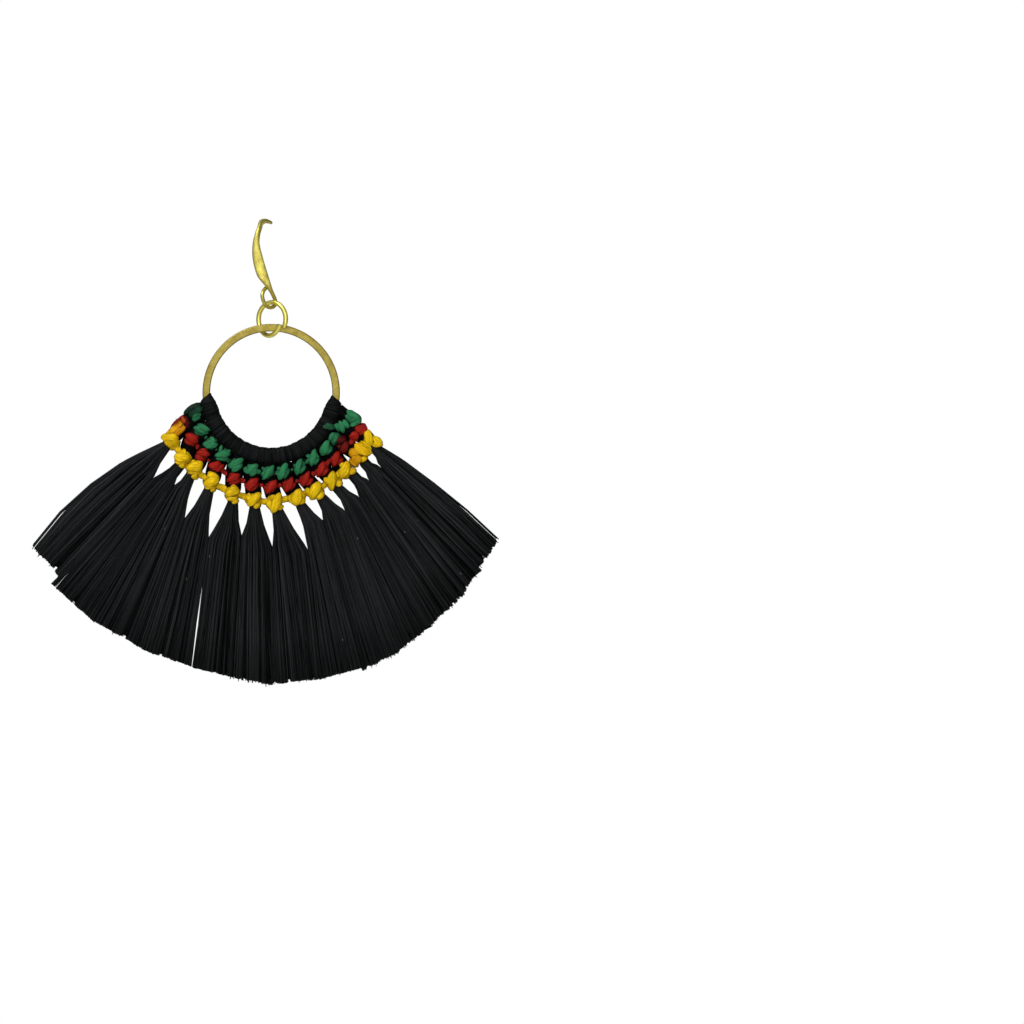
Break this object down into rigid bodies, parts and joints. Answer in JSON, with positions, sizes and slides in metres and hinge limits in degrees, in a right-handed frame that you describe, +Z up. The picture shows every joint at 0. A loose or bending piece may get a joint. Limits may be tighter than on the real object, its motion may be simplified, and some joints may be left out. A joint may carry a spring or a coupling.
{
  "type": "tassel earring",
  "caption": "Drop earring: an ear hook and jump ring carry a hoop with a fan of black thread tassels under green, red and yellow rows of knots.",
  "frame": {"origin": "the seat inside the top of the hook's arch, where it hangs in the ear", "axes": "+Z up, -Y to the front of the fan, +X to the right as the front is seen"},
  "size_m": [0.1, 0.0143, 0.101],
  "materials": {
    "brass": "satin",
    "black_thread": "satin",
    "green_floss": "satin",
    "red_floss": "satin",
    "yellow_floss": "satin"
  },
  "bodies": {
    "hook": {"ear_hook": "brass"},
    "ring": {"jump_ring": "brass"},
    "drop": {"hoop": "brass", "tassel_01": "black_thread", "tassel_02": "black_thread", "tassel_03": "black_thread", "tassel_04": "black_thread", "tassel_05": "black_thread", "tassel_06": "black_thread", "tassel_07": "black_thread", "tassel_08": "black_thread", "tassel_09": "black_thread", "tassel_10": "black_thread", "tassel_11": "black_thread", "tassel_12": "black_thread", "tassel_13": "black_thread", "green_knot_cord": "green_floss", "red_knot_cord": "red_floss", "yellow_knot_cord": "yellow_floss"}
  },
  "joints": [
    {"name": "ring_swing", "type": "hinge", "parent": "hook", "child": "ring", "pos_m": [0.0015, -0.00395, -0.01865], "axis": [0.6157, 0.788, 0], "range_deg": [-40, 40]},
    {"name": "drop_swing", "type": "hinge", "parent": "ring", "child": "drop", "pos_m": [0.00075, -0.00431, -0.0239], "axis": [0.788, -0.6157, 0], "range_deg": [-45, 20]}
  ]
}
